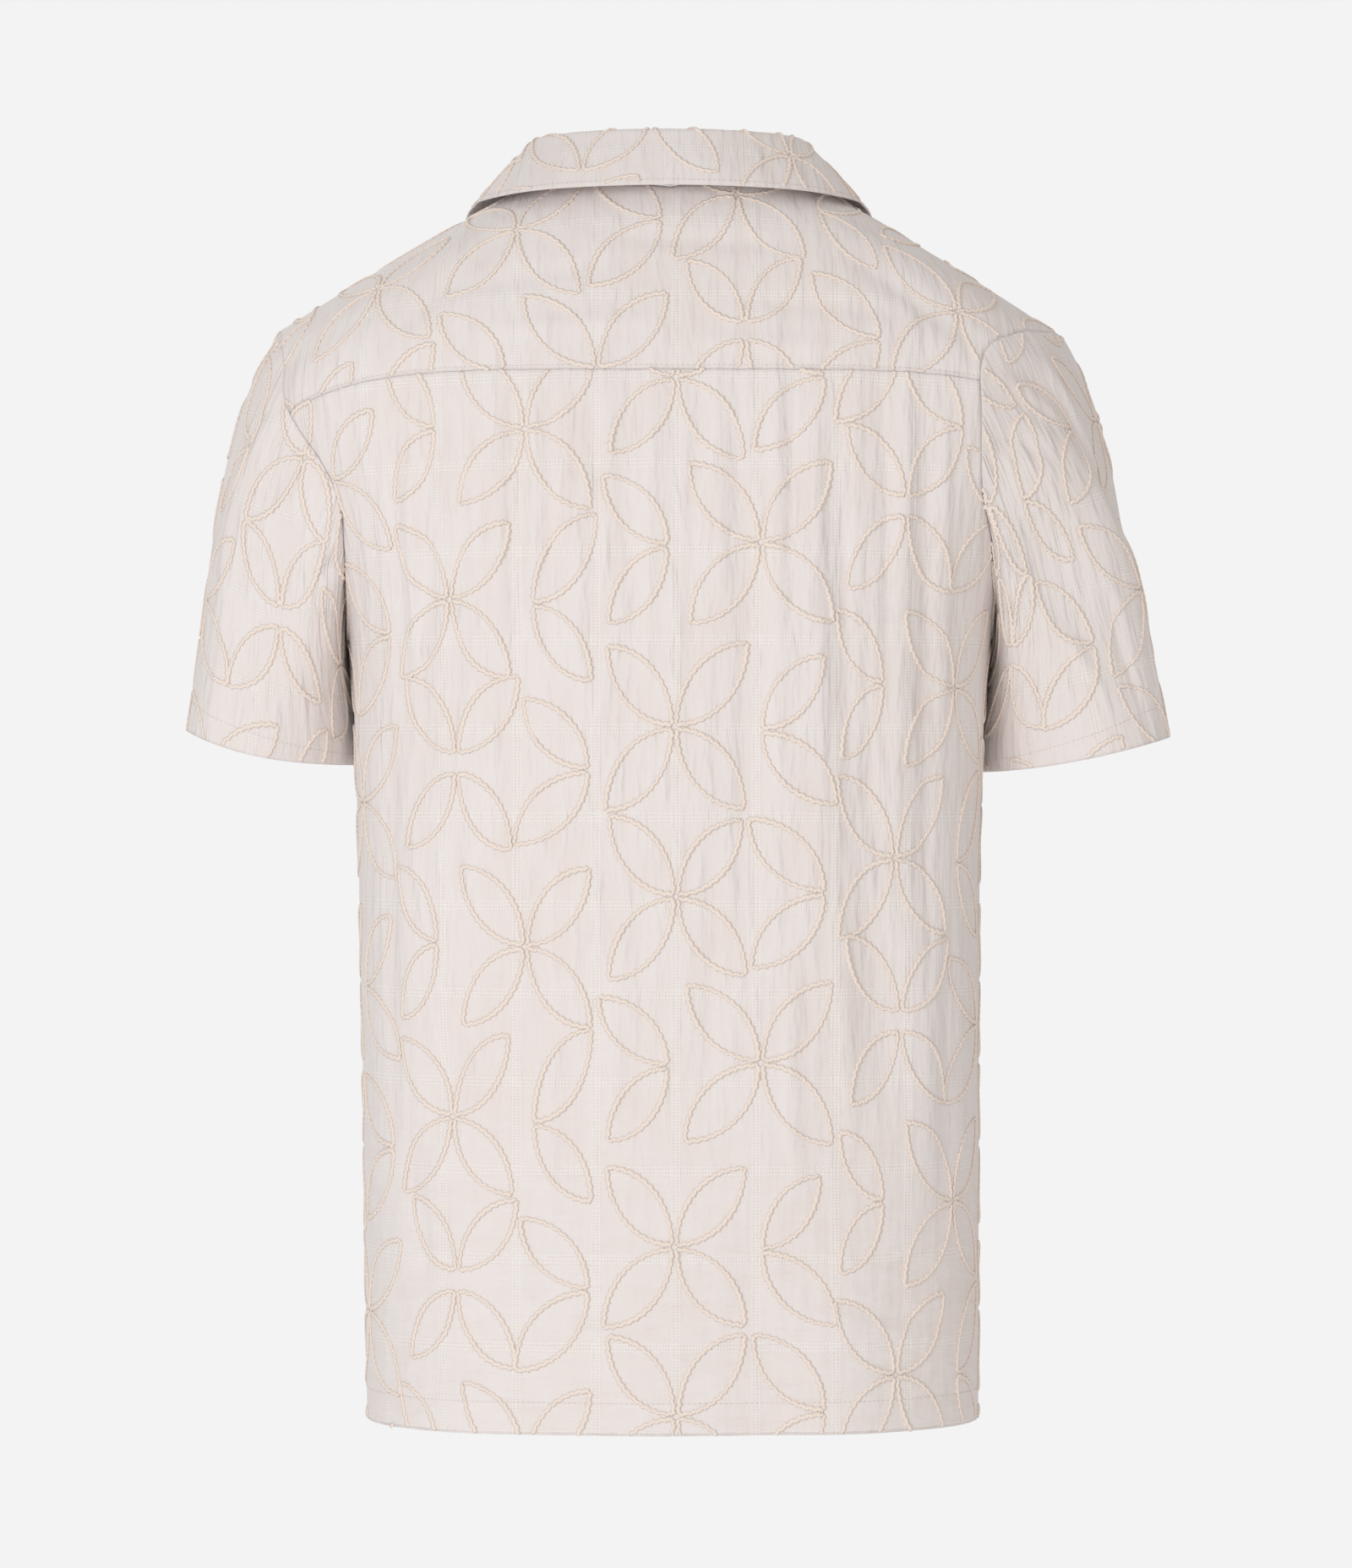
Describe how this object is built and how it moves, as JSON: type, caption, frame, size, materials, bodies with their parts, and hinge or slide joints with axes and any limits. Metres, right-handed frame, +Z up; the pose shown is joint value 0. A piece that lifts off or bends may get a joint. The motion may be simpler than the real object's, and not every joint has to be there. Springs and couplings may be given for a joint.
{
  "type": "short-sleeve shirt",
  "caption": "Hollow short-sleeve shirt, filled out with no wearer, with an open camp collar, back yoke, straight hem and a buttoned front; allover couched cord leaves on window-pane cloth.",
  "frame": {"origin": "base of the wearer's neck, on the shirt's middle, where the shoulders and neck hold the shirt up", "axes": "+Z up along the wearer, -Y out of the shirt's front, +X to the wearer's left"},
  "size_m": [0.5631, 0.2635, 0.7305],
  "materials": {
    "cloth": "thin crisp cotton voile with corded leaves",
    "button": "shell-like gloss"
  },
  "bodies": {
    "root": {"back": "cloth", "yoke": "cloth", "front_left": "cloth", "front_right": "cloth", "sleeve_left": "cloth", "sleeve_right": "cloth", "collar": "cloth", "lapel_left": "cloth", "lapel_right": "cloth", "button_1": "button", "button_2": "button", "button_3": "button", "button_4": "button", "button_5": "button"}
  },
  "joints": []
}
